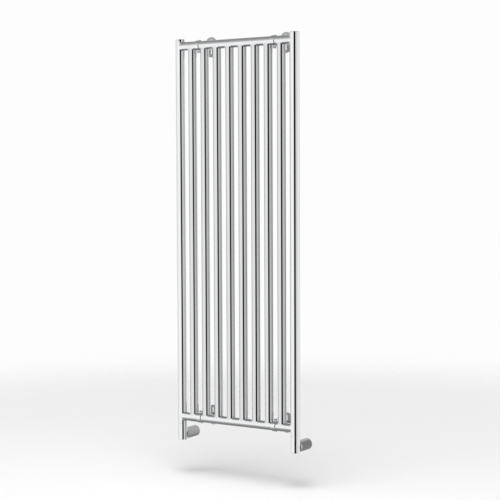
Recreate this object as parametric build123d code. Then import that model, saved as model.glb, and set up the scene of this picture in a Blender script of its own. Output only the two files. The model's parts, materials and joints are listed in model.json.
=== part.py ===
from build123d import *
import os

# Tall wall radiator in polished chrome. Two posts and eight tubes stand between a top and a bottom
# header, four clamp brackets hold the headers off the wall, and each post ends in an angle valve
# whose leg runs back to the wall.
#
# Frame: X to the right, Y towards the wall, Z up. The origin lies on the wall's face, at the centre
# of the four round fixing holes. All sizes are in millimetres.

# Radiator
header_spacing = 1662.0
tube_count = 8
tube_pitch = 66.0
wall_gap = 100.0
post_rise = 32.0
post_drop = 31.0
post_diameter = 42.4
post_wall = 2.0
header_diameter = 40.0
header_wall = 2.0
tube_diameter = 38.0
tube_wall = 1.5
end_cap_height = 4.0
cap_edge_radius = 1.2
spigot_wall = 3.0
bush_length = 14.0
thread_diameter = 21.0

# Air vent at the top of the left post
vent_height = 12.0
vent_turn = 20.0
vent_recess_diameter = 8.0
vent_recess_depth = 6.0
vent_bore_diameter = 5.0
vent_bore_depth = 15.0
vent_passage_diameter = 3.0
vent_square = 4.0
vent_square_length = 4.5
vent_screw_length = 6.0

# Wall brackets
bracket_shift = 2.0
plate_width = 56.0
plate_height = 90.0
plate_thickness = 3.0
plate_edge_radius = 1.0
pad_thickness = 2.0
fixing_hole_diameter = 8.0
fixing_hole_offset = 33.0
slot_length = 24.0
slot_offset = 21.0
arm_diameter = 16.0
arm_spigot_diameter = 10.0
arm_stud_diameter = 8.0
arm_stud_length = 7.0
clamp_wall = 3.0
clamp_width = 18.0
clamp_split = 0.8
clamp_boss_diameter = 20.0
clamp_boss_length = 9.0
hook_wall = 2.0
hook_width = 10.0
hook_reach = 6.0
lug_width = 14.0
lug_thickness = 5.0
lug_reach = 11.0
clamp_screw_diameter = 5.0
clamp_screw_head_diameter = 9.0
clamp_screw_head_height = 3.0
clamp_key = 4.0
clamp_key_depth = 1.8

# Angle valves under the posts
foot_height = 75.0
foot_edge_radius = 0.8
seam = 0.4
washer_diameter = 32.0
washer_thickness = 1.5
tail_engagement = 16.0
tail_wall = 3.5
leg_height = 23.0
leg_diameter = 50.0
leg_wall = 2.0
leg_front = 6.0
seat_height = 42.0
seat_bore_diameter = 14.0
chamber_diameter = 22.0
chamber_floor = 16.0
bonnet_diameter = 24.0
recess_depth = 10.0
recess_diameter = 34.0
knob_lift = 0.6
hub_diameter = 12.0
hub_length = 4.0
stem_diameter = 8.0
stem_foot = 9.0
stem_head_diameter = 18.0
stem_head_height = 2.5
stem_washer_height = 3.2
seat_clearance = 0.3
grip_width = 12.0
grip_depth = 5.5
grip_rim = 2.6
driver_foot = 3.4
driver_floor = 1.3
driver_flats = 24.0
shield_wall = 2.4
branch_diameter = 24.0
branch_reach = 36.0
port_diameter = 13.0
pipe_socket_diameter = 15.2
pipe_socket_depth = 12.0
nut_flats = 28.0
nut_start = 26.0
nut_length = 20.0
nut_lip = 5.0
olive_thickness = 2.4
olive_length = 4.6
olive_bevel = 1.4

# Clearances
weld_gap = 0.05
fit_gap = 0.05
run_gap = 0.05
loose_gap = 0.3

# Places worked out from the sizes above
post_radius = post_diameter / 2
post_bore = post_radius - post_wall
header_radius = header_diameter / 2
header_bore = header_radius - header_wall
tube_radius = tube_diameter / 2
tube_bore = tube_radius - tube_wall
axis_y = -wall_gap
post_x = tube_pitch * (tube_count + 1) / 2
top_z = header_spacing / 2
bottom_z = -header_spacing / 2
post_top = top_z + post_rise
post_bottom = bottom_z - post_drop
foot_z = post_bottom - foot_height
foot_top = post_bottom - seam
spigot_end = top_z + header_bore + loose_gap
bracket_x = tube_pitch * (tube_count - 2) / 2 - bracket_shift
clamp_bore = header_radius + weld_gap
clamp_radius = clamp_bore + clamp_wall
plate_front = -pad_thickness - plate_thickness
leg_z = foot_z + leg_height
leg_radius = leg_diameter / 2
bonnet_foot = recess_depth + loose_gap
SIDES = {"left": -1, "right": 1}
LEVELS = {"top": 1, "bottom": -1}


os.makedirs("parts", exist_ok=True)


def rod(radius, start, end):
    """A solid cylinder from one point to another."""
    run = Vector(*end) - Vector(*start)
    where = Plane(origin=Vector(*start), z_dir=run)
    return where * Cylinder(radius, run.length, align=(Align.CENTER, Align.CENTER, Align.MIN))


def pipe(radius, wall, start, end):
    """A hollow cylinder from one point to another."""
    return rod(radius, start, end) - rod(radius - wall, start, end)


def block(low, high):
    """A box between its lowest and highest corners."""
    size = [b - a for a, b in zip(low, high)]
    return Pos(*low) * Box(*size, align=(Align.MIN, Align.MIN, Align.MIN))


def prism(flats, sides, start, end):
    """A bar with a regular outline, given across its flats."""
    run = Vector(*end) - Vector(*start)
    outline = RegularPolygon(flats / 2, sides, major_radius=False)
    return extrude(Plane(origin=Vector(*start), z_dir=run) * outline, run.length)


def foot_rod(x, radius, low, high):
    """A cylinder on a post's axis, with its ends measured up from the foot's lower face."""
    return rod(radius, (x, axis_y, foot_z + low), (x, axis_y, foot_z + high))


def leg_rod(x, radius, near, far):
    """A cylinder on a valve leg's axis, with its ends measured back from the post's axis."""
    return rod(radius, (x, axis_y + near, leg_z), (x, axis_y + far, leg_z))


def save(name, shape):
    """Write one node."""
    shape.label = name
    export_step(shape, f"parts/{name}.step")


# Welded frame

def tube_x(number):
    """The place across the radiator of one vertical tube, counted from the left."""
    return -post_x + tube_pitch * number


def post(side, cap_height):
    """One outer post, open to both headers."""
    x = side * post_x
    body = pipe(post_radius, post_wall, (x, axis_y, post_bottom), (x, axis_y, post_top - cap_height))
    for z in (top_z, bottom_z):
        body -= rod(header_bore, (x, axis_y, z), (x - side * post_diameter, axis_y, z))
    return body


def header(level):
    """One header, shaped at its ends to the posts and open to every tube."""
    z = level * top_z
    body = pipe(header_radius, header_wall, (-post_x, axis_y, z), (post_x, axis_y, z))
    for x in (-post_x, post_x):
        body -= rod(post_radius + weld_gap, (x, axis_y, z - post_diameter), (x, axis_y, z + post_diameter))
    for number in range(1, tube_count + 1):
        x = tube_x(number)
        body -= rod(tube_bore, (x, axis_y, z), (x, axis_y, z - level * header_diameter))
    return body


def vertical_tube(number):
    """One vertical tube, shaped at its ends to the headers."""
    x = tube_x(number)
    body = pipe(tube_radius, tube_wall, (x, axis_y, bottom_z), (x, axis_y, top_z))
    for z in (top_z, bottom_z):
        reach = tube_diameter
        body -= rod(header_radius + weld_gap, (x - reach, axis_y, z), (x + reach, axis_y, z))
    return body


def cap_blank(x, height):
    """A round cap with a soft upper edge and a hollow spigot that enters the post."""
    seat = post_top - height
    head = rod(post_radius, (x, axis_y, seat), (x, axis_y, post_top))
    head = fillet(head.edges().group_by(Axis.Z)[-1], cap_edge_radius)
    spigot = pipe(post_bore - fit_gap, spigot_wall, (x, axis_y, spigot_end), (x, axis_y, seat))
    return head + spigot


def vent_point(distance):
    """A point on the vent's axis, measured outwards from the post's axis."""
    reach = Vector(0, -distance, 0).rotate(Axis.Z, vent_turn)
    return (reach.X - post_x, reach.Y + axis_y, post_top - vent_height / 2)


def vent_cap():
    """The left post's cap, bored for the air vent screw."""
    body = cap_blank(-post_x, vent_height)
    recess_floor = post_radius - vent_recess_depth
    bore_floor = post_radius - vent_bore_depth
    body -= rod(vent_recess_diameter / 2, vent_point(recess_floor), vent_point(post_diameter))
    body -= rod(vent_bore_diameter / 2, vent_point(bore_floor), vent_point(post_radius))
    passage = vent_point(bore_floor + vent_passage_diameter)
    below = (passage[0], passage[1], spigot_end)
    body -= rod(vent_passage_diameter / 2, below, passage)
    return body


def bleed_screw():
    """The air vent's screw, with a square end for the key."""
    collar = post_radius - vent_recess_depth + loose_gap
    tip = collar - vent_screw_length
    shank = rod(vent_bore_diameter / 2 - run_gap, vent_point(tip), vent_point(collar))
    square = prism(vent_square, 4, vent_point(collar), vent_point(collar + vent_square_length))
    return shank + square


def post_bush(x):
    """The threaded ring inside a post's lower end."""
    low = (x, axis_y, post_bottom)
    high = (x, axis_y, post_bottom + bush_length)
    return rod(post_bore - fit_gap, low, high) - rod(thread_diameter / 2, low, high)


# Wall brackets

def stadium(width, height, x, z, near, far):
    """An upright slab with round ends, from one distance off the wall to another."""
    outline = SlotOverall(height, width, rotation=90) if height > width else Circle(width / 2)
    where = Plane(origin=(x, near, z), x_dir=(1, 0, 0), z_dir=(0, 1, 0))
    return extrude(where * outline, far - near)


def fixing_cuts(x, level):
    """The round hole and the slot through a plate and its pad."""
    z = level * top_z
    hole_z = z + level * fixing_hole_offset
    hole = rod(fixing_hole_diameter / 2, (x, -plate_width, hole_z), (x, plate_width, hole_z))
    slot_z = z - level * slot_offset
    return hole + stadium(fixing_hole_diameter, slot_length, x, slot_z, -plate_width, plate_width)


def wall_plate(x, level):
    """The plate that is screwed to the wall."""
    z = level * top_z
    body = stadium(plate_width, plate_height, x, z, plate_front, -pad_thickness)
    body = fillet(body.edges().group_by(Axis.Y)[0], plate_edge_radius)
    body -= rod(arm_spigot_diameter / 2 + fit_gap, (x, plate_front - 1, z), (x, 0, z))
    return body - fixing_cuts(x, level)


def wall_pad(x, level):
    """The thin pad between plate and wall."""
    z = level * top_z
    body = stadium(plate_width, plate_height, x, z, -pad_thickness, 0)
    return body - fixing_cuts(x, level)


def arm(x, level):
    """The standoff from the plate to the clamp."""
    z = level * top_z
    front = axis_y + clamp_radius + clamp_boss_length
    body = rod(arm_diameter / 2, (x, front, z), (x, plate_front, z))
    body += rod(arm_spigot_diameter / 2, (x, plate_front, z), (x, -pad_thickness, z))
    return body + rod(arm_stud_diameter / 2, (x, front - arm_stud_length, z), (x, front, z))


def half_ring(x, z, facing):
    """Half of the clamp's ring, on one side of the split."""
    half = clamp_width / 2
    ring = rod(clamp_radius, (x - half, axis_y, z), (x + half, axis_y, z))
    ring -= rod(clamp_bore, (x - half, axis_y, z), (x + half, axis_y, z))
    reach = 2 * clamp_radius
    edge = axis_y + facing * clamp_split / 2
    far = edge + facing * reach
    return ring & block((x - half, min(edge, far), z - reach), (x + half, max(edge, far), z + reach))


def lug(x, level, facing):
    """The ear beside the split, on the side of the header that faces the middle of the radiator."""
    z = level * top_z
    edge = axis_y + facing * clamp_split / 2
    far = edge + facing * lug_thickness
    root = z - level * (clamp_bore + clamp_wall / 3)
    tip = z - level * (clamp_radius + lug_reach)
    half = lug_width / 2
    ear = block((x - half, min(edge, far), min(root, tip)), (x + half, max(edge, far), max(root, tip)))
    corners = ear.edges().filter_by(Axis.Y).group_by(Axis.Z)[0 if level > 0 else -1]
    return fillet(corners, half / 2)


def lug_screw_z(level):
    """The height of a clamp screw."""
    return level * (top_z - clamp_radius - lug_reach / 2)


def clamp_rear(x, level):
    """The half of the clamp that the arm holds."""
    z = level * top_z
    boss_end = axis_y + clamp_radius + clamp_boss_length
    body = half_ring(x, z, 1) + lug(x, level, 1)
    boss = rod(clamp_boss_diameter / 2, (x, axis_y + header_radius / 2, z), (x, boss_end, z))
    reach = clamp_boss_diameter
    boss -= rod(clamp_bore + clamp_wall / 3, (x - reach, axis_y, z), (x + reach, axis_y, z))
    body += boss
    socket = (x, boss_end - arm_stud_length - loose_gap, z)
    body -= rod(arm_stud_diameter / 2 + fit_gap, socket, (x, boss_end, z))
    screw_z = lug_screw_z(level)
    tapped = clamp_screw_diameter / 2 + fit_gap
    return body - rod(tapped, (x, axis_y, screw_z), (x, axis_y + clamp_radius, screw_z))


def clamp_front(x, level):
    """The loose half of the clamp, with a hook over the other half."""
    z = level * top_z
    half = hook_width / 2
    outer = clamp_radius + hook_wall
    hook = rod(outer, (x - half, axis_y, z), (x + half, axis_y, z))
    hook -= rod(clamp_radius + fit_gap, (x - half, axis_y, z), (x + half, axis_y, z))
    root = rod(outer, (x - half, axis_y, z), (x + half, axis_y, z))
    root -= rod(clamp_radius - clamp_wall / 3, (x - half, axis_y, z), (x + half, axis_y, z))
    far_z = z + level * 2 * outer
    low_z = min(z, far_z)
    high_z = max(z, far_z)
    split_y = axis_y - clamp_split / 2
    hook &= block((x - half, split_y, low_z), (x + half, axis_y + hook_reach, high_z))
    root &= block((x - half, axis_y - hook_reach, low_z), (x + half, split_y, high_z))
    body = half_ring(x, z, -1) + root + hook + lug(x, level, -1)
    screw_z = lug_screw_z(level)
    clear = clamp_screw_diameter / 2 + fit_gap
    return body - rod(clear, (x, axis_y - clamp_radius, screw_z), (x, axis_y, screw_z))


def clamp_screw(x, level):
    """The screw that draws the two ears together."""
    z = lug_screw_z(level)
    face = axis_y - clamp_split / 2 - lug_thickness
    top = face - clamp_screw_head_height
    end = axis_y + clamp_split / 2 + lug_thickness
    body = rod(clamp_screw_diameter / 2, (x, face, z), (x, end, z))
    body += rod(clamp_screw_head_diameter / 2, (x, top, z), (x, face, z))
    return body - prism(clamp_key, 6, (x, top, z), (x, top + clamp_key_depth, z))


# Angle valves

def valve_body(x):
    """The foot below a post, bored for tailpiece, seat and control, with a branch to the wall."""
    top = foot_height - seam
    body = foot_rod(x, post_radius, 0, top)
    body = fillet(body.edges().group_by(Axis.Z)[0], foot_edge_radius)
    body += leg_rod(x, branch_diameter / 2, 0, branch_reach)
    body -= foot_rod(x, washer_diameter / 2 + fit_gap, top - washer_thickness, top)
    body -= foot_rod(x, thread_diameter / 2, top - tail_engagement, top)
    body -= foot_rod(x, seat_bore_diameter / 2, seat_height, top)
    body -= foot_rod(x, chamber_diameter / 2, chamber_floor, seat_height)
    body -= foot_rod(x, bonnet_diameter / 2, recess_depth, chamber_floor)
    body -= foot_rod(x, recess_diameter / 2, 0, recess_depth)
    body -= leg_rod(x, port_diameter / 2, 0, branch_reach)
    return body - leg_rod(x, pipe_socket_diameter / 2, branch_reach - pipe_socket_depth, branch_reach)


def tailpiece(x):
    """The threaded nipple that joins a valve to its post."""
    low = foot_height - seam - tail_engagement + loose_gap
    high = foot_height + bush_length - loose_gap
    outer = thread_diameter / 2 - fit_gap
    return foot_rod(x, outer, low, high) - foot_rod(x, outer - tail_wall, low, high)


def seam_washer(x):
    """The sealing ring in the valve's upper face."""
    top = foot_height - seam
    ring = foot_rod(x, washer_diameter / 2, top - washer_thickness, top)
    return ring - foot_rod(x, thread_diameter / 2, top - washer_thickness, top)


def bonnet(x):
    """The ring that guides the stem and carries the control's hub."""
    body = foot_rod(x, bonnet_diameter / 2 - fit_gap, bonnet_foot, chamber_floor)
    body -= foot_rod(x, hub_diameter / 2 + run_gap, bonnet_foot, recess_depth + hub_length + loose_gap)
    return body - foot_rod(x, stem_diameter / 2 + run_gap, bonnet_foot, chamber_floor)


def stem(x):
    """The stem, which slides and doesn't turn."""
    head = seat_height - seat_clearance - stem_washer_height
    body = foot_rod(x, stem_diameter / 2, stem_foot, head)
    return body + foot_rod(x, stem_head_diameter / 2, head - stem_head_height, head)


def stem_washer(x):
    """The soft disc that closes the seat."""
    high = seat_height - seat_clearance
    return foot_rod(x, stem_head_diameter / 2, high - stem_washer_height, high)


def stem_socket(x):
    """The space inside a control's hub that the stem's foot slides in."""
    low = driver_foot + driver_floor
    return foot_rod(x, stem_diameter / 2 + run_gap, low, recess_depth + hub_length)


def knob(x):
    """The flush hand control, with a bar to grip between two hollows."""
    outer = recess_diameter / 2 - loose_gap
    face = recess_depth - loose_gap
    body = foot_rod(x, outer, knob_lift, face)
    body = fillet(body.edges().group_by(Axis.Z)[0], foot_edge_radius)
    hollow = foot_rod(x, outer - grip_rim, knob_lift, knob_lift + grip_depth)
    reach = recess_diameter
    low = foot_z + knob_lift
    bar = block(
        (x - grip_width / 2, axis_y - reach, low),
        (x + grip_width / 2, axis_y + reach, low + grip_depth),
    )
    body -= hollow - bar
    body += foot_rod(x, hub_diameter / 2, face, recess_depth + hub_length)
    return body - stem_socket(x)


def lockshield_driver(x):
    """The hexagon that sets the return valve, turned with a spanner."""
    face = recess_depth - loose_gap
    body = prism(driver_flats, 6, (x, axis_y, foot_z + driver_foot), (x, axis_y, foot_z + face))
    body += foot_rod(x, hub_diameter / 2, face, recess_depth + hub_length)
    return body - stem_socket(x)


def lockshield_cap(x):
    """The cover that is pulled off to reach the hexagon."""
    outer = recess_diameter / 2 - loose_gap
    body = foot_rod(x, outer, knob_lift, recess_depth - loose_gap)
    body = fillet(body.edges().group_by(Axis.Z)[0], foot_edge_radius)
    return body - foot_rod(x, outer - shield_wall, knob_lift + shield_wall, recess_depth)


def leg_cover(x):
    """The thick sleeve round the pipe, from the valve back to the wall."""
    body = leg_rod(x, leg_radius, leg_front, wall_gap - loose_gap)
    body -= leg_rod(x, leg_radius - leg_wall, leg_front + leg_wall, wall_gap)
    return body - foot_rod(x, post_radius + loose_gap, -leg_diameter, foot_height)


def compression_nut(x):
    """The nut that holds the pipe in the valve's branch."""
    near = (x, axis_y + nut_start, leg_z)
    far = (x, axis_y + nut_start + nut_length, leg_z)
    body = prism(nut_flats, 6, near, far)
    cavity = nut_start + nut_length - nut_lip
    body -= leg_rod(x, branch_diameter / 2 + fit_gap, nut_start, cavity)
    return body - leg_rod(x, pipe_socket_diameter / 2 + loose_gap, cavity, nut_start + nut_length)


def olive(x):
    """The bevelled ring that is squeezed on to the pipe."""
    inner = pipe_socket_diameter / 2 + loose_gap
    near = branch_reach + weld_gap
    body = leg_rod(x, inner + olive_thickness, near, near + olive_length)
    body = chamfer(body.edges().filter_by(GeomType.CIRCLE), olive_bevel)
    return body - leg_rod(x, inner, near, near + olive_length)


def pair(make):
    """The same piece on the left and on the right."""
    return Compound(children=[make(side * post_x) for side in SIDES.values()])


save("left_post", post(-1, vent_height))
save("right_post", post(1, end_cap_height))
save("top_header", header(1))
save("bottom_header", header(-1))
for number in range(1, tube_count + 1):
    save(f"vertical_tube_{number}", vertical_tube(number))
save("right_post_cap", cap_blank(post_x, end_cap_height))
save("left_vent_cap", vent_cap())
save("bleed_screw", bleed_screw())
save("post_bushes", pair(post_bush))

clamp_screws = []
for level_name, level in LEVELS.items():
    for side_name, side in SIDES.items():
        place = f"{level_name}_{side_name}"
        x = side * bracket_x
        save(f"{place}_wall_pad", wall_pad(x, level))
        save(f"{place}_wall_plate", wall_plate(x, level))
        save(f"{place}_arm", arm(x, level))
        save(f"{place}_clamp_rear", clamp_rear(x, level))
        save(f"{place}_clamp_front", clamp_front(x, level))
        clamp_screws.append(clamp_screw(x, level))
save("clamp_screws", Compound(children=clamp_screws))

for side_name, side in SIDES.items():
    x = side * post_x
    save(f"{side_name}_valve_body", valve_body(x))
    save(f"{side_name}_bonnet", bonnet(x))
    save(f"{side_name}_stem", stem(x))
    save(f"{side_name}_stem_washer", stem_washer(x))
    save(f"{side_name}_leg_cover", leg_cover(x))
    save(f"{side_name}_compression_nut", compression_nut(x))
save("tailpieces", pair(tailpiece))
save("seam_washers", pair(seam_washer))
save("olives", pair(olive))
save("valve_knob", knob(-post_x))
save("lockshield_driver", lockshield_driver(post_x))
save("lockshield_cap", lockshield_cap(post_x))
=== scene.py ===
import json
import math

import bmesh
import bpy
from bpy.props import FloatProperty, FloatVectorProperty, IntProperty, PointerProperty
from mathutils import Matrix, Vector


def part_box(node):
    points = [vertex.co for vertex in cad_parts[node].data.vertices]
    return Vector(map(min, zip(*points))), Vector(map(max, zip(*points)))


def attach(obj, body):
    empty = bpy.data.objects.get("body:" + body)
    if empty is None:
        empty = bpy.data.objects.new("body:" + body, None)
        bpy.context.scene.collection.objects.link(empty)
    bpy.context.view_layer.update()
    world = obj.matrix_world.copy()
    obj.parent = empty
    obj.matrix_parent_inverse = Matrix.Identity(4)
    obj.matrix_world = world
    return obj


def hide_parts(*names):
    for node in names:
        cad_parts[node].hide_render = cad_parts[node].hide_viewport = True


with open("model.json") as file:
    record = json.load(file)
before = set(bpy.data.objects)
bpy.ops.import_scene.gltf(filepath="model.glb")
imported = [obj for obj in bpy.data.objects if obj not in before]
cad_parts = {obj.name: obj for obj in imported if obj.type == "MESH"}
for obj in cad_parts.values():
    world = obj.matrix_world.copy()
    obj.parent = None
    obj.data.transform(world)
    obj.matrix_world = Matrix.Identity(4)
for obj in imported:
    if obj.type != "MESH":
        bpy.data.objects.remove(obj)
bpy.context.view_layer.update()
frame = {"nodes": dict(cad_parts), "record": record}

bl_info = {
    "name": "Chrome Wall Radiator",
    "version": (1, 0, 0),
    "blender": (4, 5, 0),
    "location": "View3D > Sidebar > Radiator",
    "description": "Builds the looks of a tall chrome wall radiator with an angle valve under each post",
    "category": "Object",
}

NODES = frame["nodes"]
ROOT = "radiator"
TURN = 2 * math.pi
SIDES = ("left", "right")
LEVELS = ("top", "bottom")
TUBE_COUNT = sum(1 for name in NODES if name.startswith("vertical_tube_"))


# Sizes and places read from the frame

def middle(node):
    """The centre of a CAD node's box."""
    low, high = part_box(node)
    return (low + high) / 2


def breadth(node, axis):
    """The size of a CAD node along one axis."""
    low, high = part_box(node)
    return (high - low)[axis]


POST_RADIUS = breadth("left_post", 0) / 2
HEADER_RADIUS = breadth("top_header", 2) / 2
TUBE_RADIUS = breadth("vertical_tube_1", 0) / 2
AXIS_Y = middle("vertical_tube_1").y
POST_X = {side: middle(f"{side}_post").x for side in SIDES}
FOOT_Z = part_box("left_valve_body")[0].z
HEADER_Z = {level: middle(f"{level}_header").z for level in LEVELS}
TUBE_X = [middle(f"vertical_tube_{number}").x for number in range(1, TUBE_COUNT + 1)]

# Walls of the tubes, and how finely rounded edges and welds are made
POST_WALL = 0.002
HEADER_WALL = 0.002
TUBE_WALL = 0.0015
EDGE_STEPS = 3
WELD_STEPS = 5

# A weld's curve is drawn towards the joint's line by this share, and its hidden root lies this share
# of the way out from the axis.
WELD_PULL = 0.72
WELD_ROOT = 0.985


# The studio: brightness by the sine of the height above level, and by the bearing from the camera

def stops(pairs, span):
    """Ramp stops from (value, brightness) pairs, for values from minus span to span."""
    return [((value + span) / (2 * span), brightness) for value, brightness in pairs]


SCREEN_RADIUS = 2.6
SCREEN_LOW = -1.75
SCREEN_HIGH = 1.32
SCREEN_SEGMENTS = 96
WORLD_STOPS = stops((
    (-1, 0.10), (-0.9, 0.17), (-0.6, 0.42), (-0.3, 0.7),
    (0.3, 0.7), (0.6, 0.44), (0.8, 0.3), (1, 0.2),
), 1)
SCREEN_STOPS = stops((
    (-180, 0.92), (-120, 0.72), (-80, 1.0), (-40, 1.0), (-20, 0.9), (-17, 0.004),
    (17, 0.004), (20, 0.6), (60, 0.84), (110, 0.95), (150, 0.92), (180, 0.92),
), 180)
BACKDROP_COLOUR = (0.98, 0.98, 0.985, 1)
FLOOR_COLOUR = (0.93, 0.93, 0.935, 1)
FLOOR_REACH = 6
FLOOR_FADE = (1.2, 4.5)
CARD_COLOUR = (0.34, 0.34, 0.345, 1)
CARD_GAP = 0.004
CARD_DEPTHS = (AXIS_Y + 0.02, 0.7)
CARD_HEIGHT = 1.6
SOFTBOX_POWER = 260
SOFTBOX_SIZE = 4.0
SOFTBOX_PLACE = (0.5, -1.5, 4.5)
SOFTBOX_TILT = math.radians(12)


# What a user can set

class RadiatorSizes(bpy.types.PropertyGroup):
    """Sizes of the details that the looks add."""

    segments: IntProperty(
        name="Segments round a tube",
        description="How many flats stand for a full turn of a tube",
        default=96, min=24, max=256,
    )
    weld_leg: FloatProperty(
        name="Weld leg",
        description="How far the polished weld runs up each of the two tubes that it joins",
        default=0.0032, min=0.001, max=0.006, unit="LENGTH",
    )
    edge_round: FloatProperty(
        name="Edge rounding",
        description="Radius on the edges of the posts, brackets and valves",
        default=0.0003, min=0.00005, max=0.001, unit="LENGTH",
    )


class RadiatorColours(bpy.types.PropertyGroup):
    """Colours of the finishes."""

    chrome: FloatVectorProperty(
        name="Chrome",
        description="Colour of the polished plating",
        subtype="COLOR", size=4, min=0, max=1, default=(0.86, 0.865, 0.875, 1),
    )
    satin: FloatVectorProperty(
        name="Satin steel",
        description="Colour of the brushed brackets and pipe sleeves",
        subtype="COLOR", size=4, min=0, max=1, default=(0.50, 0.505, 0.51, 1),
    )
    brass: FloatVectorProperty(
        name="Brass",
        description="Colour of the machined brass inside the valves",
        subtype="COLOR", size=4, min=0, max=1, default=(0.78, 0.60, 0.32, 1),
    )
    rubber: FloatVectorProperty(
        name="Rubber",
        description="Colour of the pads and seals",
        subtype="COLOR", size=4, min=0, max=1, default=(0.025, 0.025, 0.028, 1),
    )


class StageSettings(bpy.types.PropertyGroup):
    """The studio round the radiator."""

    azimuth: FloatProperty(
        name="Camera azimuth",
        description="How far round to the right of square-on the camera stands",
        default=math.radians(33.2), subtype="ANGLE",
    )
    distance: FloatProperty(
        name="Camera distance",
        description="Level distance from the radiator's middle to the camera",
        default=5.94, min=1, unit="LENGTH",
    )
    eye_height: FloatProperty(
        name="Eye height",
        description="Height of the camera above the valves' lower faces",
        default=1.193, min=0, unit="LENGTH",
    )
    pitch: FloatProperty(
        name="Camera pitch",
        description="How far the camera looks down",
        default=math.radians(3.15), subtype="ANGLE",
    )
    swing: FloatProperty(
        name="Camera swing",
        description="How far the camera turns away from the radiator's middle",
        default=math.radians(-0.56), subtype="ANGLE",
    )
    roll: FloatProperty(
        name="Camera roll",
        description="How far the camera leans",
        default=math.radians(-0.23), subtype="ANGLE",
    )
    focal: FloatProperty(
        name="Focal length",
        description="Lens length in millimetres",
        default=97.6, min=10,
    )
    floor_drop: FloatProperty(
        name="Floor drop",
        description="How far the floor lies below the valves",
        default=0.16, min=0, unit="LENGTH",
    )


# Mesh helpers

def finish_piece(name, mesh, material, slot, *replaced):
    """Makes an object from a mesh, gives it its finish and lets it ride on the radiator."""
    piece = bpy.data.objects.new(name, mesh)
    bpy.context.scene.collection.objects.link(piece)
    mesh.materials.clear()
    mesh.materials.append(material)
    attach(piece, ROOT)
    if replaced:
        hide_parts(*replaced)
    return piece


def smooth_by_angle(mesh, degrees=35):
    """Smooth shading that keeps the sharp edges."""
    mesh.polygons.foreach_set("use_smooth", [True] * len(mesh.polygons))
    mesh.set_sharp_from_angle(angle=math.radians(degrees))


def rings_to_mesh(name, rings, closed=True):
    """A mesh from equal rings of points, joined one to the next and, if closed, last to first."""
    count = len(rings[0])
    points = [point for ring in rings for point in ring]
    faces = []
    spans = len(rings) if closed else len(rings) - 1
    for i in range(spans):
        j = (i + 1) % len(rings)
        for k in range(count):
            m = (k + 1) % count
            faces.append((i * count + k, i * count + m, j * count + m, j * count + k))
    mesh = bpy.data.meshes.new(name)
    mesh.from_pydata(points, [], faces)
    tidy = bmesh.new()
    tidy.from_mesh(mesh)
    bmesh.ops.recalc_face_normals(tidy, faces=tidy.faces)
    tidy.to_mesh(mesh)
    tidy.free()
    smooth_by_angle(mesh)
    return mesh


def join_meshes(name, meshes):
    """One mesh from several."""
    whole = bmesh.new()
    for mesh in meshes:
        whole.from_mesh(mesh)
        bpy.data.meshes.remove(mesh)
    joined = bpy.data.meshes.new(name)
    whole.to_mesh(joined)
    whole.free()
    smooth_by_angle(joined)
    return joined


def angles(count):
    """Evenly spaced angles round a full turn."""
    return [TURN * k / count for k in range(count)]


def turned(name, x, profile, count):
    """A body of revolution about a post's axis, from a closed outline of (radius, height) pairs."""
    rings = []
    for radius, height in profile:
        rings.append([
            Vector((x + radius * math.cos(t), AXIS_Y + radius * math.sin(t), height)) for t in angles(count)
        ])
    return rings_to_mesh(name, rings)


def quarter_turn():
    """Evenly spaced angles from nothing to a quarter turn."""
    return [math.pi / 2 * k / EDGE_STEPS for k in range(EDGE_STEPS + 1)]


def rounded(radius, low, high, edge_low, edge_high):
    """The outer side of a turned outline, with its two edges rounded. A ring just inside each edge keeps
    the long face's shading straight."""
    points = []
    for a in quarter_turn():
        points.append((radius - edge_low * (1 - math.sin(a)), low + edge_low * (1 - math.cos(a))))
    points.append((radius, low + 3 * edge_low))
    points.append((radius, high - 3 * edge_high))
    for a in quarter_turn():
        points.append((radius - edge_high * (1 - math.cos(a)), high - edge_high * (1 - math.sin(a))))
    return points


def crossing_depth(radius, other, t):
    """How far from the other tube's axis the surface lies, at an angle round this one."""
    return math.sqrt(max(other ** 2 - (radius * math.sin(t)) ** 2, 0.0))


def saddle_ended(name, start, end, across, radius, wall, other, count):
    """A tube between two points on the axes of the tubes that it meets, with its ends shaped to them.
    across is the direction of those tubes, and other is their radius."""
    along = (end - start).normalized()
    side = along.cross(across)
    bore = radius - wall
    rings = []
    for size, place, inward in ((radius, start, 1), (radius, end, -1), (bore, end, -1), (bore, start, 1)):
        ring = []
        for t in angles(count):
            depth = inward * crossing_depth(size, other, t)
            ring.append(place + along * depth + across * (size * math.cos(t)) + side * (size * math.sin(t)))
        rings.append(ring)
    return rings_to_mesh(name, rings)


def weld_ring(name, centre, along, across, radius, other, leg, count):
    """A polished fillet round the joint of one tube with another. along points out of the other tube,
    and across is the other tube's own axis."""
    side = along.cross(across)
    rings = [[] for _ in range(WELD_STEPS + 2)]
    for t in angles(count):
        reach = math.sin(t)
        depth = crossing_depth(radius, other, t)
        crest = centre + across * (radius * math.cos(t)) + side * (radius * reach) + along * depth
        top = crest + along * leg
        bearing = math.asin(max(-1.0, min(1.0, radius * reach / other))) + leg / other * reach
        foot = (centre + across * ((radius + leg) * math.cos(t))
                + side * (other * math.sin(bearing)) + along * (other * math.cos(bearing)))
        knee = crest * WELD_PULL + (top + foot) * (1 - WELD_PULL) / 2
        for k in range(WELD_STEPS + 1):
            s = k / WELD_STEPS
            rings[k].append(top * (1 - s) ** 2 + knee * 2 * s * (1 - s) + foot * s ** 2)
        rings[-1].append(centre + (crest - centre) * WELD_ROOT)
    return rings_to_mesh(name, rings)


# Materials

def blank_material(name):
    """A node material, its tree and the socket for its surface."""
    material = bpy.data.materials.new(name)
    material.use_nodes = True
    tree = material.node_tree
    tree.nodes.clear()
    output = tree.nodes.new("ShaderNodeOutputMaterial")
    return material, tree, output.inputs["Surface"]


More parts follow.
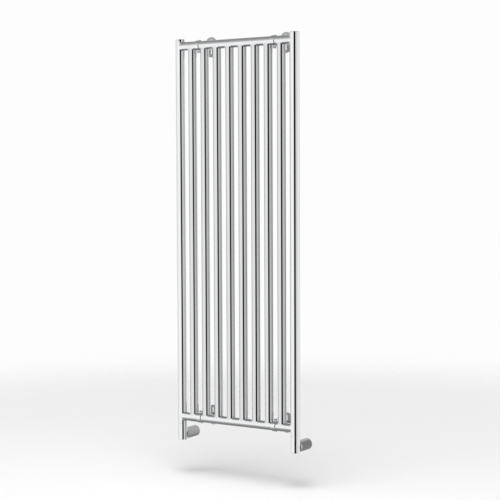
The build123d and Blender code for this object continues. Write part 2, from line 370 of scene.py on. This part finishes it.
def new_material(name):
    """A node material, its tree and its shader."""
    material, tree, surface = blank_material(name)
    shader = tree.nodes.new("ShaderNodeBsdfPrincipled")
    tree.links.new(shader.outputs["BSDF"], surface)
    return material, tree, shader


def object_point(tree, scale):
    """The place on the object, scaled along each axis."""
    place = tree.nodes.new("ShaderNodeTexCoord")
    mapping = tree.nodes.new("ShaderNodeMapping")
    mapping.inputs["Scale"].default_value = scale
    tree.links.new(place.outputs["Object"], mapping.inputs["Vector"])
    return mapping.outputs["Vector"]


def noise(tree, point, scale, detail=3.0, roughness=0.5):
    """A noise value from 0 to 1."""
    node = tree.nodes.new("ShaderNodeTexNoise")
    node.inputs["Scale"].default_value = scale
    node.inputs["Detail"].default_value = detail
    node.inputs["Roughness"].default_value = roughness
    tree.links.new(point, node.inputs["Vector"])
    return node.outputs["Fac"]


def spread(tree, value, low, high):
    """A noise value moved to another range."""
    node = tree.nodes.new("ShaderNodeMapRange")
    node.inputs["From Min"].default_value = 0.3
    node.inputs["From Max"].default_value = 0.7
    node.inputs["To Min"].default_value = low
    node.inputs["To Max"].default_value = high
    tree.links.new(value, node.inputs["Value"])
    return node.outputs["Result"]


def blend_colours(tree, factor, first, second):
    """A colour between two others."""
    node = tree.nodes.new("ShaderNodeMix")
    node.data_type = "RGBA"
    node.inputs["A"].default_value = first
    node.inputs["B"].default_value = second
    tree.links.new(factor, node.inputs["Factor"])
    return node.outputs["Result"]


def bump(tree, shader, height, strength, distance):
    """Raises the surface by a height value."""
    node = tree.nodes.new("ShaderNodeBump")
    node.inputs["Strength"].default_value = strength
    node.inputs["Distance"].default_value = distance
    tree.links.new(height, node.inputs["Height"])
    tree.links.new(node.outputs["Normal"], shader.inputs["Normal"])


def shade(colour, factor):
    """A colour made darker or lighter."""
    return tuple(min(1.0, c * factor) for c in colour[:3]) + (1.0,)


def chrome_material(name, stretch, colour, roughness):
    """Mirror chrome with faint polishing haze and the slow waviness of drawn tube."""
    material, tree, shader = new_material(name)
    shader.inputs["Metallic"].default_value = 1.0
    point = object_point(tree, stretch)
    haze = noise(tree, point, 9.0, 4.0)
    tree.links.new(spread(tree, haze, roughness * 0.6, roughness * 1.6), shader.inputs["Roughness"])
    tint = noise(tree, point, 3.0, 2.0)
    tree.links.new(blend_colours(tree, tint, shade(colour, 0.95), shade(colour, 1.03)),
                   shader.inputs["Base Color"])
    bump(tree, shader, noise(tree, point, 6.0, 1.0), 0.05, 0.0005)
    return material


def satin_material(name, colour):
    """Brushed steel with a fine grain."""
    material, tree, shader = new_material(name)
    shader.inputs["Metallic"].default_value = 1.0
    grain = noise(tree, object_point(tree, (30, 30, 1200)), 1.0, 4.0, 0.6)
    tree.links.new(spread(tree, grain, 0.26, 0.42), shader.inputs["Roughness"])
    tree.links.new(blend_colours(tree, grain, shade(colour, 0.88), shade(colour, 1.08)),
                   shader.inputs["Base Color"])
    bump(tree, shader, grain, 0.15, 0.0002)
    return material


def brass_material(name, colour):
    """Machined brass with turning marks and a little tarnish."""
    material, tree, shader = new_material(name)
    shader.inputs["Metallic"].default_value = 1.0
    tarnish = noise(tree, object_point(tree, (60, 60, 60)), 1.0, 5.0)
    marks = noise(tree, object_point(tree, (200, 200, 3000)), 1.0, 2.0)
    tree.links.new(blend_colours(tree, tarnish, shade(colour, 0.72), shade(colour, 1.05)),
                   shader.inputs["Base Color"])
    tree.links.new(spread(tree, marks, 0.22, 0.36), shader.inputs["Roughness"])
    bump(tree, shader, marks, 0.2, 0.0001)
    return material


def rubber_material(name, colour):
    """Matt rubber with a moulded grain."""
    material, tree, shader = new_material(name)
    grain = noise(tree, object_point(tree, (900, 900, 900)), 1.0, 2.0)
    dust = noise(tree, object_point(tree, (40, 40, 40)), 1.0, 4.0)
    tree.links.new(blend_colours(tree, dust, colour, shade(colour, 2.2)), shader.inputs["Base Color"])
    tree.links.new(spread(tree, grain, 0.6, 0.8), shader.inputs["Roughness"])
    bump(tree, shader, grain, 0.3, 0.0002)
    return material


def finish(name):
    """A finish by name, made the first time that it is asked for."""
    made = bpy.data.materials.get(name)
    if made:
        return made
    colours = bpy.context.scene.radiator_colours
    makers = {
        # Painted shade: the upright tubes get a copy of the chrome darkened to 0.89, standing for the shade
        # between neighbouring tubes.
        "painted_shade_tube_chrome": lambda: chrome_material(name, (4, 4, 1), shade(colours.chrome, 0.89), 0.012),
        # Painted light: the posts and their welds get a copy of the chrome lightened to 1.03, standing for
        # the brighter light on the outer posts.
        "painted_light_post_chrome": lambda: chrome_material(name, (4, 4, 1), shade(colours.chrome, 1.03), 0.012),
        "header_chrome": lambda: chrome_material(name, (1, 4, 4), colours.chrome, 0.012),
        "fitting_chrome": lambda: chrome_material(name, (3, 3, 3), shade(colours.chrome, 1.03), 0.02),
        "satin_steel": lambda: satin_material(name, colours.satin),
        "machined_brass": lambda: brass_material(name, colours.brass),
        "seal_rubber": lambda: rubber_material(name, colours.rubber),
    }
    return makers[name]()


SLOT_FINISH = {
    "chrome_tube": "painted_shade_tube_chrome",
    "chrome_fitting": "fitting_chrome",
    "brushed_steel": "satin_steel",
    "brass": "machined_brass",
    "black_rubber": "seal_rubber",
}


# Operators

class RADIATOR_OT_finishes(bpy.types.Operator):
    """Gives every CAD node its finish"""

    bl_idname = "radiator.finishes"
    bl_label = "Finishes"

    def execute(self, context):
        for row in frame["record"]["subparts"]:
            mesh = NODES[row["node"]].data
            mesh.materials.clear()
            mesh.materials.append(finish(SLOT_FINISH[row["material_slot"]]))
        return {"FINISHED"}


class RADIATOR_OT_edges(bpy.types.Operator):
    """Softens the sharp edges of the brackets and valves so that they catch the light"""

    bl_idname = "radiator.edges"
    bl_label = "Soft edges"

    def execute(self, context):
        softened = ("plate", "pad", "clamp_front", "clamp_rear", "nut", "driver")
        for name, node in NODES.items():
            if name.endswith(softened):
                bevel = node.modifiers.new("soft_edge", "BEVEL")
                bevel.width = context.scene.radiator_sizes.edge_round
                bevel.segments = 2
                bevel.limit_method = "ANGLE"
                bevel.angle_limit = math.radians(50)
        return {"FINISHED"}


class RADIATOR_OT_posts(bpy.types.Operator):
    """Builds the two outer posts as fine round tubes"""

    bl_idname = "radiator.posts"
    bl_label = "Posts"

    def execute(self, context):
        sizes = context.scene.radiator_sizes
        for side in SIDES:
            low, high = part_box(f"{side}_post")
            bore = POST_RADIUS - POST_WALL
            profile = [(bore, low.z)]
            profile += rounded(POST_RADIUS, low.z, high.z, sizes.edge_round, sizes.edge_round / 2)
            profile.append((bore, high.z))
            mesh = turned(f"{side}_post_tube", POST_X[side], profile, sizes.segments)
            finish_piece(f"{side}_post_tube", mesh, finish("painted_light_post_chrome"), "chrome_tube", f"{side}_post")
        return {"FINISHED"}


class RADIATOR_OT_tubes(bpy.types.Operator):
    """Builds the eight upright tubes, shaped at their ends to the headers"""

    bl_idname = "radiator.tubes"
    bl_label = "Upright tubes"

    def execute(self, context):
        sizes = context.scene.radiator_sizes
        across = Vector((1, 0, 0))
        for number, x in enumerate(TUBE_X, 1):
            ends = [Vector((x, AXIS_Y, HEADER_Z[level])) for level in ("bottom", "top")]
            mesh = saddle_ended(f"upright_tube_{number}", *ends, across, TUBE_RADIUS, TUBE_WALL,
                                HEADER_RADIUS, sizes.segments)
            finish_piece(f"upright_tube_{number}", mesh, finish("painted_shade_tube_chrome"), "chrome_tube",
                         f"vertical_tube_{number}")
        return {"FINISHED"}


class RADIATOR_OT_headers(bpy.types.Operator):
    """Builds the two headers, shaped at their ends to the posts"""

    bl_idname = "radiator.headers"
    bl_label = "Headers"

    def execute(self, context):
        sizes = context.scene.radiator_sizes
        across = Vector((0, 0, 1))
        for level in LEVELS:
            ends = [Vector((POST_X[side], AXIS_Y, HEADER_Z[level])) for side in SIDES]
            mesh = saddle_ended(f"{level}_header_tube", *ends, across, HEADER_RADIUS, HEADER_WALL,
                                POST_RADIUS, sizes.segments)
            finish_piece(f"{level}_header_tube", mesh, finish("header_chrome"), "chrome_tube",
                         f"{level}_header")
        return {"FINISHED"}


class RADIATOR_OT_welds(bpy.types.Operator):
    """Builds the polished fillets where tubes, headers and posts are welded"""

    bl_idname = "radiator.welds"
    bl_label = "Welds"

    def execute(self, context):
        sizes = context.scene.radiator_sizes
        for level in LEVELS:
            inward = -1 if level == "top" else 1
            welds = []
            for x in TUBE_X:
                centre = Vector((x, AXIS_Y, HEADER_Z[level]))
                welds.append(weld_ring("weld", centre, Vector((0, 0, inward)), Vector((1, 0, 0)),
                                       TUBE_RADIUS, HEADER_RADIUS, sizes.weld_leg, sizes.segments))
            mesh = join_meshes(f"{level}_tube_welds", welds)
            finish_piece(f"{level}_tube_welds", mesh, finish("header_chrome"), "chrome_tube")
            welds = []
            for side in SIDES:
                centre = Vector((POST_X[side], AXIS_Y, HEADER_Z[level]))
                inward_x = Vector((1 if side == "left" else -1, 0, 0))
                welds.append(weld_ring("weld", centre, inward_x, Vector((0, 0, 1)),
                                       HEADER_RADIUS, POST_RADIUS, sizes.weld_leg, sizes.segments))
            mesh = join_meshes(f"{level}_post_welds", welds)
            finish_piece(f"{level}_post_welds", mesh, finish("painted_light_post_chrome"), "chrome_tube")
        return {"FINISHED"}


# Stage

def camera_matrix(stage):
    """The camera's place and direction."""
    a = stage.azimuth
    place = Vector((math.sin(a) * stage.distance, -math.cos(a) * stage.distance, FOOT_Z + stage.eye_height))
    place.y += AXIS_Y
    yaw = a + stage.swing
    ahead = Vector((-math.sin(yaw) * math.cos(stage.pitch), math.cos(yaw) * math.cos(stage.pitch),
                    -math.sin(stage.pitch)))
    right = Vector((math.cos(yaw), math.sin(yaw), 0))
    up = right.cross(ahead)
    tilt = Matrix.Rotation(-stage.roll, 3, ahead)
    right = tilt @ right
    up = tilt @ up
    turn = Matrix((right, up, -ahead)).transposed()
    return Matrix.Translation(place) @ turn.to_4x4()


def brightness_ramp(tree, value, stops):
    """A brightness that follows a 0 to 1 value, from (place, brightness) pairs."""
    node = tree.nodes.new("ShaderNodeValToRGB")
    ramp = node.color_ramp
    while len(ramp.elements) < len(stops):
        ramp.elements.new(0.5)
    for element, (place, brightness) in zip(ramp.elements, stops):
        element.position = place
        element.color = (brightness, brightness, brightness, 1)
    tree.links.new(value, node.inputs["Fac"])
    return node.outputs["Color"]


def calculation(tree, kind, *values):
    """A maths node fed by numbers and sockets."""
    node = tree.nodes.new("ShaderNodeMath")
    node.operation = kind
    for socket, value in zip(node.inputs, values):
        if isinstance(value, (int, float)):
            socket.default_value = value
        else:
            tree.links.new(value, socket)
    return node.outputs[0]


def world_light():
    """White to the camera, and a studio that dims towards its ceiling and floor to all else."""
    world = bpy.data.worlds.new("soft_studio")
    bpy.context.scene.world = world
    world.use_nodes = True
    tree = world.node_tree
    tree.nodes.clear()
    place = tree.nodes.new("ShaderNodeTexCoord")
    parts = tree.nodes.new("ShaderNodeSeparateXYZ")
    tree.links.new(place.outputs["Generated"], parts.inputs[0])
    lift = calculation(tree, "MULTIPLY_ADD", parts.outputs["Z"], 0.5, 0.5)
    lit = tree.nodes.new("ShaderNodeBackground")
    tree.links.new(brightness_ramp(tree, lift, WORLD_STOPS), lit.inputs["Color"])
    seen = tree.nodes.new("ShaderNodeBackground")
    seen.inputs["Color"].default_value = BACKDROP_COLOUR
    path = tree.nodes.new("ShaderNodeLightPath")
    chosen = tree.nodes.new("ShaderNodeMixShader")
    tree.links.new(path.outputs["Is Camera Ray"], chosen.inputs["Fac"])
    tree.links.new(lit.outputs[0], chosen.inputs[1])
    tree.links.new(seen.outputs[0], chosen.inputs[2])
    output = tree.nodes.new("ShaderNodeOutputWorld")
    tree.links.new(chosen.outputs[0], output.inputs["Surface"])


def glowing(tree, surface):
    """The colour socket of a glow that covers the whole surface."""
    glow = tree.nodes.new("ShaderNodeEmission")
    tree.links.new(glow.outputs["Emission"], surface)
    return glow.inputs["Color"]


def screen_material(stage):
    """The glow of the round screen, with a dark slot on the camera's side."""
    material, tree, surface = blank_material("studio_screen")
    place = tree.nodes.new("ShaderNodeTexCoord")
    parts = tree.nodes.new("ShaderNodeSeparateXYZ")
    tree.links.new(place.outputs["Object"], parts.inputs[0])
    minus_y = calculation(tree, "MULTIPLY", parts.outputs["Y"], -1.0)
    bearing = calculation(tree, "ARCTAN2", parts.outputs["X"], minus_y)
    relative = calculation(tree, "SUBTRACT", bearing, stage.azimuth)
    wrapped = calculation(tree, "WRAP", relative, math.pi, -math.pi)
    share = calculation(tree, "MULTIPLY_ADD", wrapped, 1 / TURN, 0.5)
    tree.links.new(brightness_ramp(tree, share, SCREEN_STOPS), glowing(tree, surface))
    return material


def card_material():
    """A plain grey glow for the side card."""
    material, tree, surface = blank_material("grey_card")
    glowing(tree, surface).default_value = CARD_COLOUR
    return material


def floor_material():
    """A pale floor that fades into the backdrop away from the radiator."""
    material, tree, surface = blank_material("pale_floor")
    shader = tree.nodes.new("ShaderNodeBsdfPrincipled")
    shader.inputs["Base Color"].default_value = FLOOR_COLOUR
    shader.inputs["Roughness"].default_value = 0.9
    place = tree.nodes.new("ShaderNodeTexCoord")
    away = tree.nodes.new("ShaderNodeVectorMath")
    away.operation = "LENGTH"
    tree.links.new(place.outputs["Object"], away.inputs[0])
    fade = tree.nodes.new("ShaderNodeMapRange")
    fade.interpolation_type = "SMOOTHSTEP"
    fade.inputs["From Min"].default_value = FLOOR_FADE[0]
    fade.inputs["From Max"].default_value = FLOOR_FADE[1]
    tree.links.new(away.outputs["Value"], fade.inputs["Value"])
    clear = tree.nodes.new("ShaderNodeBsdfTransparent")
    mixed = tree.nodes.new("ShaderNodeMixShader")
    tree.links.new(fade.outputs["Result"], mixed.inputs["Fac"])
    tree.links.new(shader.outputs["BSDF"], mixed.inputs[1])
    tree.links.new(clear.outputs[0], mixed.inputs[2])
    tree.links.new(mixed.outputs[0], surface)
    return material


def stage_object(name, points, faces, material):
    """A mesh of the studio, in the scene."""
    mesh = bpy.data.meshes.new(name)
    mesh.from_pydata(points, [], faces)
    mesh.materials.append(material)
    made = bpy.data.objects.new(name, mesh)
    bpy.context.scene.collection.objects.link(made)
    return made


def only_in_reflections(piece):
    """Hides a piece of the studio from all but the reflections."""
    piece.visible_camera = False
    piece.visible_diffuse = False
    piece.visible_shadow = False


def round_screen(stage):
    """A round screen about the radiator that only reflections see."""
    points = []
    for t in angles(SCREEN_SEGMENTS):
        for z in (SCREEN_LOW, SCREEN_HIGH):
            points.append((SCREEN_RADIUS * math.cos(t), SCREEN_RADIUS * math.sin(t), z))
    faces = []
    for k in range(SCREEN_SEGMENTS):
        near = 2 * k
        far = 2 * ((k + 1) % SCREEN_SEGMENTS)
        faces.append((near, far, far + 1, near + 1))
    screen = stage_object("round_screen", points, faces, screen_material(stage))
    only_in_reflections(screen)
    return screen


def side_card():
    """A grey card behind the right post that only reflections see."""
    x = POST_X["right"] + POST_RADIUS + CARD_GAP
    near, far = CARD_DEPTHS
    points = [(x, near, -CARD_HEIGHT), (x, far, -CARD_HEIGHT), (x, far, CARD_HEIGHT), (x, near, CARD_HEIGHT)]
    card = stage_object("side_card", points, [(0, 1, 2, 3)], card_material())
    only_in_reflections(card)
    return card


def pale_floor(stage):
    """The floor below the valves, which the chrome doesn't reflect."""
    z = FOOT_Z - stage.floor_drop
    points = [(FLOOR_REACH * x, FLOOR_REACH * y, z) for x, y in ((-1, -1), (1, -1), (1, 1), (-1, 1))]
    floor = stage_object("floor", points, [(0, 1, 2, 3)], floor_material())
    floor.visible_glossy = False
    return floor


def add_camera(stage):
    """Makes the camera and looks through it."""
    lens = bpy.data.cameras.new("studio_camera")
    lens.lens = stage.focal
    lens.sensor_width = 36.0
    camera = bpy.data.objects.new("studio_camera", lens)
    camera.matrix_world = camera_matrix(stage)
    bpy.context.scene.collection.objects.link(camera)
    bpy.context.scene.camera = camera


def add_softbox():
    """A large soft lamp overhead, which the chrome doesn't reflect."""
    light = bpy.data.lights.new("overhead_softbox", "AREA")
    light.energy = SOFTBOX_POWER
    light.size = SOFTBOX_SIZE
    lamp = bpy.data.objects.new("overhead_softbox", light)
    lamp.location = SOFTBOX_PLACE
    lamp.rotation_euler.x = SOFTBOX_TILT
    lamp.visible_glossy = False
    bpy.context.scene.collection.objects.link(lamp)


class RADIATOR_OT_stage(bpy.types.Operator):
    """Sets the floor, the soft light and the camera"""

    bl_idname = "radiator.stage"
    bl_label = "Stage"

    def execute(self, context):
        stage = context.scene.radiator_stage
        context.scene.view_settings.view_transform = "Standard"
        world_light()
        pale_floor(stage)
        side_card()
        round_screen(stage)
        add_camera(stage)
        add_softbox()
        return {"FINISHED"}


class RADIATOR_PT_panel(bpy.types.Panel):
    """The radiator's tools in the sidebar"""

    bl_idname = "RADIATOR_PT_panel"
    bl_label = "Chrome Radiator"
    bl_space_type = "VIEW_3D"
    bl_region_type = "UI"
    bl_category = "Radiator"

    def draw(self, context):
        layout = self.layout
        scene = context.scene
        for group in (scene.radiator_sizes, scene.radiator_colours, scene.radiator_stage):
            for name in group.bl_rna.properties.keys():
                if name not in ("name", "rna_type"):
                    layout.prop(group, name)
        for operator in OPERATORS:
            layout.operator(operator.bl_idname)


GROUPS = (RadiatorSizes, RadiatorColours, StageSettings)
OPERATORS = (
    RADIATOR_OT_finishes,
    RADIATOR_OT_edges,
    RADIATOR_OT_posts,
    RADIATOR_OT_tubes,
    RADIATOR_OT_headers,
    RADIATOR_OT_welds,
    RADIATOR_OT_stage,
)


def register():
    """Registers the classes and their settings."""
    for made in GROUPS + OPERATORS + (RADIATOR_PT_panel,):
        bpy.utils.register_class(made)
    bpy.types.Scene.radiator_sizes = PointerProperty(type=RadiatorSizes)
    bpy.types.Scene.radiator_colours = PointerProperty(type=RadiatorColours)
    bpy.types.Scene.radiator_stage = PointerProperty(type=StageSettings)


def unregister():
    """Takes the classes and their settings away."""
    del bpy.types.Scene.radiator_stage
    del bpy.types.Scene.radiator_colours
    del bpy.types.Scene.radiator_sizes
    for made in reversed(GROUPS + OPERATORS + (RADIATOR_PT_panel,)):
        bpy.utils.unregister_class(made)


def main():
    """Builds everything."""
    register()
    for operator in OPERATORS:
        getattr(bpy.ops.radiator, operator.bl_idname.split(".")[1])()


if __name__ == "__main__":
    main()
